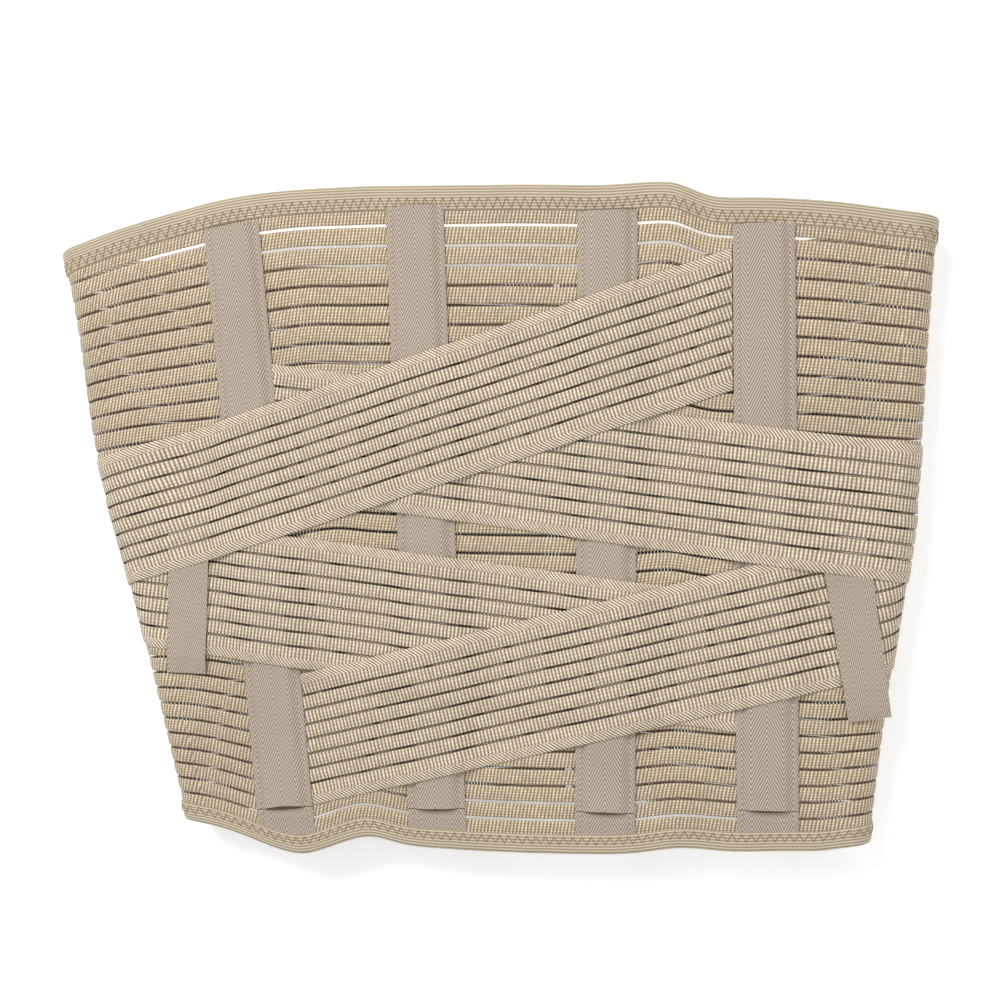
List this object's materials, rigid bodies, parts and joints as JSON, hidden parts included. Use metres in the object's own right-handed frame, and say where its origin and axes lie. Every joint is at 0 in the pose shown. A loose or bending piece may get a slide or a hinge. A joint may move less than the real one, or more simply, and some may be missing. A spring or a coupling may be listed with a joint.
{
  "type": "lumbar support belt",
  "caption": "Ventilated elastic lumbar support belt, folded flat, with a boned back panel, crossing side straps, hook tabs and a lapped front closure.",
  "frame": {"origin": "centre of the flattened loop's outline, on the surface that it lies on with its front down", "axes": "+X across the belt towards its right side as seen from the back, +Y up the wearer's back, +Z out of the back panel"},
  "size_m": [0.4046, 0.3064, 0.0329],
  "materials": {
    "elastic_panel": "woven elastic ribs with open slits",
    "strap_elastic": "woven elastic webbing with open slits",
    "herringbone_tape": "herringbone twill",
    "binding_elastic": "fine ribbed folded elastic",
    "loop_cloth": "brushed loop pile",
    "tab_cloth": "laminated nylon",
    "hook_tape": "moulded hook tape",
    "spring_steel": "coated spring steel"
  },
  "bodies": {
    "root": {"back_panel": "elastic_panel", "top_binding": "binding_elastic", "bottom_binding": "binding_elastic", "pocket_backing_1": "herringbone_tape", "pocket_seams_1": "herringbone_tape", "pocket_cover_1": "herringbone_tape", "pocket_backing_2": "herringbone_tape", "pocket_seams_2": "herringbone_tape", "pocket_cover_2": "herringbone_tape", "pocket_backing_3": "herringbone_tape", "pocket_seams_3": "herringbone_tape", "pocket_cover_3": "herringbone_tape", "pocket_backing_4": "herringbone_tape", "pocket_seams_4": "herringbone_tape", "pocket_cover_4": "herringbone_tape", "upper_left_strap": "strap_elastic", "upper_right_strap": "strap_elastic", "lower_left_strap": "strap_elastic", "lower_right_strap": "strap_elastic", "left_keeper": "herringbone_tape", "right_keeper": "herringbone_tape"},
    "left_side": {"left_side_panel": "elastic_panel", "left_side_bindings": "binding_elastic", "left_side_upper_strap": "strap_elastic", "left_side_lower_strap": "strap_elastic"},
    "right_side": {"right_side_panel": "elastic_panel", "right_side_bindings": "binding_elastic", "right_side_upper_strap": "strap_elastic", "right_side_lower_strap": "strap_elastic"},
    "left_front": {"left_front_panel": "elastic_panel", "left_front_bindings": "binding_elastic", "left_loop_panel": "loop_cloth", "closure_hook": "hook_tape", "left_strap_wraps": "strap_elastic"},
    "right_front": {"right_front_panel": "elastic_panel", "right_front_bindings": "binding_elastic", "right_loop_panel": "loop_cloth", "underlap_panel": "elastic_panel", "underlap_seam": "elastic_panel", "closure_loop": "loop_cloth", "right_strap_wraps": "strap_elastic"},
    "left_pull": {"left_front_upper_strap": "strap_elastic", "left_front_lower_strap": "strap_elastic", "left_tab": "tab_cloth", "left_tab_hook": "hook_tape"},
    "right_pull": {"right_front_upper_strap": "strap_elastic", "right_front_lower_strap": "strap_elastic", "right_tab": "tab_cloth", "right_tab_hook": "hook_tape"},
    "stay_1": {"stay_1": "spring_steel"},
    "stay_2": {"stay_2": "spring_steel"},
    "stay_3": {"stay_3": "spring_steel"},
    "stay_4": {"stay_4": "spring_steel"}
  },
  "joints": [
    {"name": "left_side_fold", "type": "hinge", "parent": "root", "child": "left_side", "pos_m": [-0.1752, -0.00511, 0.0244], "axis": [-0.1916, 0.9815, 0], "range_deg": [0, 90]},
    {"name": "left_front_fold", "type": "hinge", "parent": "left_side", "child": "left_front", "pos_m": [-0.1752, -0.00511, 0.0043], "axis": [-0.1916, 0.9815, 0], "range_deg": [0, 90]},
    {"name": "right_side_fold", "type": "hinge", "parent": "root", "child": "right_side", "pos_m": [0.1838, -0.01061, 0.0244], "axis": [-0.1288, -0.9917, 0], "range_deg": [0, 54]},
    {"name": "right_front_fold", "type": "hinge", "parent": "right_side", "child": "right_front", "pos_m": [0.1838, -0.01061, 0.0043], "axis": [-0.1288, -0.9917, 0], "range_deg": [0, 54]},
    {"name": "left_tab_peel", "type": "hinge", "parent": "left_front", "child": "left_pull", "pos_m": [-0.16342, -0.00281, 0], "axis": [-0.1916, 0.9815, 0], "range_deg": [0, 100]},
    {"name": "right_tab_peel", "type": "hinge", "parent": "right_front", "child": "right_pull", "pos_m": [0.1719, -0.00906, 0], "axis": [-0.1288, -0.9917, 0], "range_deg": [0, 100]},
    {"name": "stay_1_slide", "type": "slide", "parent": "root", "child": "stay_1", "axis": [0.0696, -0.9976, 0], "range_m": [0, 0.23]},
    {"name": "stay_2_slide", "type": "slide", "parent": "root", "child": "stay_2", "axis": [0.0126, -0.9999, 0], "range_m": [0, 0.23]},
    {"name": "stay_3_slide", "type": "slide", "parent": "root", "child": "stay_3", "axis": [-0.0286, -0.9996, 0], "range_m": [0, 0.23]},
    {"name": "stay_4_slide", "type": "slide", "parent": "root", "child": "stay_4", "axis": [-0.0177, -0.9998, 0], "range_m": [0, 0.23]}
  ],
  "couplings": [
    {"joint": "left_front_fold", "follows": "left_side_fold", "ratio": 1},
    {"joint": "right_side_fold", "follows": "left_side_fold", "ratio": 0.6},
    {"joint": "right_front_fold", "follows": "left_side_fold", "ratio": 0.6}
  ]
}
